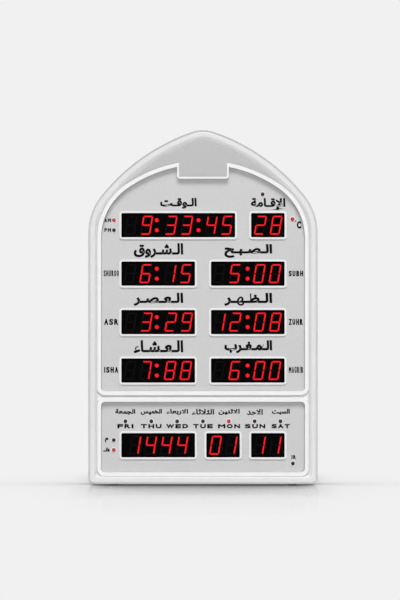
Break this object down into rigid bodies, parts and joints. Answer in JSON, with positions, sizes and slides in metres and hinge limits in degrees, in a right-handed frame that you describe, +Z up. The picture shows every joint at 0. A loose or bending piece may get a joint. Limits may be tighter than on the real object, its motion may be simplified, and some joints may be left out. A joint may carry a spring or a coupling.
{
  "type": "digital prayer-time clock",
  "caption": "White pointed-arch wall and shelf clock with red seven-segment windows for the time, prayer times, temperature and date, on silver faces, with a fold-out rear stand.",
  "frame": {"origin": "on the surface that the clock stands on, under the middle of the case", "axes": "+X to the viewer's right, +Y from the front to the rear, +Z up"},
  "size_m": [0.308, 0.044, 0.4759],
  "materials": {
    "white_case": "satin",
    "silver_face": "satin",
    "steel": "satin",
    "rubber": "matte",
    "circuit_board": "satin",
    "chip_black": "matte",
    "receiver_black": "gloss",
    "capacitor_sleeve": "gloss",
    "aluminium": "satin",
    "cable_grey": "matte",
    "brass": "satin",
    "speaker_paper": "matte",
    "ferrite": "matte",
    "lamp_lit": "gloss",
    "lamp_dark": "gloss",
    "display_black": "gloss",
    "segment_lit": "gloss",
    "segment_dark": "gloss"
  },
  "bodies": {
    "case": {"front_housing": "white_case", "rear_cover": "white_case", "window_bezels": "white_case", "main_face_overlay": "silver_face", "calendar_face_overlay": "silver_face", "crown_plate": "silver_face", "cover_screws": "steel", "controller_screws": "steel", "stand_pin": "steel", "battery_contacts": "steel", "backup_cell": "steel", "speaker_frame": "steel", "rubber_feet": "rubber", "main_display_board": "circuit_board", "calendar_display_board": "circuit_board", "controller_board": "circuit_board", "controller_chips": "chip_black", "ribbon_headers": "chip_black", "power_jack": "chip_black", "temperature_sensor": "chip_black", "remote_receiver": "receiver_black", "capacitors": "capacitor_sleeve", "regulator_heat_sink": "aluminium", "crystal": "aluminium", "ribbon_cables": "cable_grey", "speaker_leads": "cable_grey", "power_jack_pin": "brass", "speaker_cone": "speaker_paper", "speaker_magnet": "ferrite", "lit_lamps": "lamp_lit", "dark_lamps": "lamp_dark", "dark_segments": "segment_dark", "time_display": "display_black", "time_lit_segments": "segment_lit", "temperature_display": "display_black", "temperature_lit_segments": "segment_lit", "sunrise_display": "display_black", "sunrise_lit_segments": "segment_lit", "dawn_display": "display_black", "dawn_lit_segments": "segment_lit", "afternoon_display": "display_black", "afternoon_lit_segments": "segment_lit", "noon_display": "display_black", "noon_lit_segments": "segment_lit", "night_display": "display_black", "night_lit_segments": "segment_lit", "sunset_display": "display_black", "sunset_lit_segments": "segment_lit", "year_display": "display_black", "year_lit_segments": "segment_lit", "month_display": "display_black", "month_lit_segments": "segment_lit", "day_display": "display_black", "day_lit_segments": "segment_lit"},
    "stand": {"stand_leg": "white_case", "stand_tip_pad": "rubber"},
    "battery_cap": {"battery_cap": "white_case"}
  },
  "joints": [
    {"name": "stand_hinge", "type": "hinge", "parent": "case", "child": "stand", "pos_m": [0, 0.018, 0.191], "axis": [1, 0, 0], "range_deg": [0, 25]},
    {"name": "battery_cap_turn", "type": "hinge", "parent": "case", "child": "battery_cap", "pos_m": [0.064, 0.022, 0.141], "axis": [0, 1, 0], "range_deg": [0, 45]}
  ]
}
